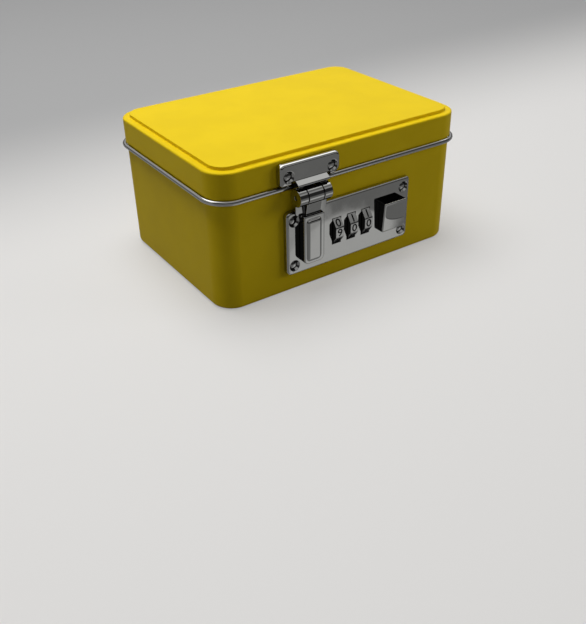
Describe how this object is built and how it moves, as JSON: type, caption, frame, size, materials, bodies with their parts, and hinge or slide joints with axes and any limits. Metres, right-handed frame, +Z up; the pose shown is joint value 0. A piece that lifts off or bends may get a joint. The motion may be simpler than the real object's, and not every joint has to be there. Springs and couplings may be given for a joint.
{
  "type": "medication lock box",
  "caption": "Small hinged tin for medicines with a bright bead round its lid and a hasp lock with turning number dials and a slide button on its front.",
  "frame": {"origin": "middle of the flat underside of the tin", "axes": "+Z up, -Y out of the front that carries the lock, +X to the right seen from the front"},
  "size_m": [0.1656, 0.1271, 0.0801],
  "materials": {
    "yellow_paint": "satin",
    "bright_tin": "polished",
    "chrome_casting": "polished",
    "wheel_chrome": "polished, dark recessed numbers",
    "black_zinc": "satin",
    "spring_steel": "satin",
    "brass": "satin"
  },
  "bodies": {
    "case": {"body_tub": "yellow_paint", "hinge_strap_left": "bright_tin", "hinge_strap_right": "bright_tin", "hinge_rivet_1": "bright_tin", "hinge_rivet_2": "bright_tin", "hinge_rivet_3": "bright_tin", "hinge_rivet_4": "bright_tin", "lock_housing": "chrome_casting", "lock_cover": "bright_tin", "cover_screw_1": "black_zinc", "cover_screw_2": "black_zinc", "cover_screw_3": "black_zinc", "cover_screw_4": "black_zinc", "plate_rivet_1": "chrome_casting", "plate_rivet_2": "chrome_casting", "plate_rivet_3": "chrome_casting", "plate_rivet_4": "chrome_casting", "dial_axle": "spring_steel", "detent_spring": "spring_steel", "return_spring": "spring_steel"},
    "lid": {"lid_shell": "yellow_paint", "lid_bead": "bright_tin", "lid_bead_rear": "bright_tin", "hinge_pin_left": "spring_steel", "hinge_pin_right": "spring_steel", "strike_rivet_1": "chrome_casting", "strike_rivet_2": "chrome_casting", "hinge_strike": "chrome_casting", "hasp_pin": "spring_steel"},
    "hasp": {"hasp_flap": "chrome_casting"},
    "wheel_1": {"dial_1": "wheel_chrome", "code_sleeve_1": "brass"},
    "wheel_2": {"dial_2": "wheel_chrome", "code_sleeve_2": "brass"},
    "wheel_3": {"dial_3": "wheel_chrome", "code_sleeve_3": "brass"},
    "button": {"push_button": "chrome_casting", "slide_bolt": "spring_steel"}
  },
  "joints": [
    {"name": "lid_hinge", "type": "hinge", "parent": "case", "child": "lid", "pos_m": [0, 0.05795, 0.0628], "axis": [-1, 0, 0], "range_deg": [0, 115]},
    {"name": "hasp_hinge", "type": "hinge", "parent": "lid", "child": "hasp", "pos_m": [-0.0271, -0.0621, 0.0577], "axis": [-1, 0, 0], "range_deg": [0, 115]},
    {"name": "dial_1_spin", "type": "hinge", "parent": "case", "child": "wheel_1", "pos_m": [-0.00905, -0.054, 0.0302], "axis": [1, 0, 0], "continuous": true},
    {"name": "dial_2_spin", "type": "hinge", "parent": "case", "child": "wheel_2", "pos_m": [0.00095, -0.054, 0.0302], "axis": [1, 0, 0], "continuous": true},
    {"name": "dial_3_spin", "type": "hinge", "parent": "case", "child": "wheel_3", "pos_m": [0.01095, -0.054, 0.0302], "axis": [1, 0, 0], "continuous": true},
    {"name": "button_slide", "type": "slide", "parent": "case", "child": "button", "axis": [1, 0, 0], "range_m": [0, 0.003], "stiffness_N_per_m": 400, "springref_m": -0.001, "deforming": ["return_spring"]}
  ]
}
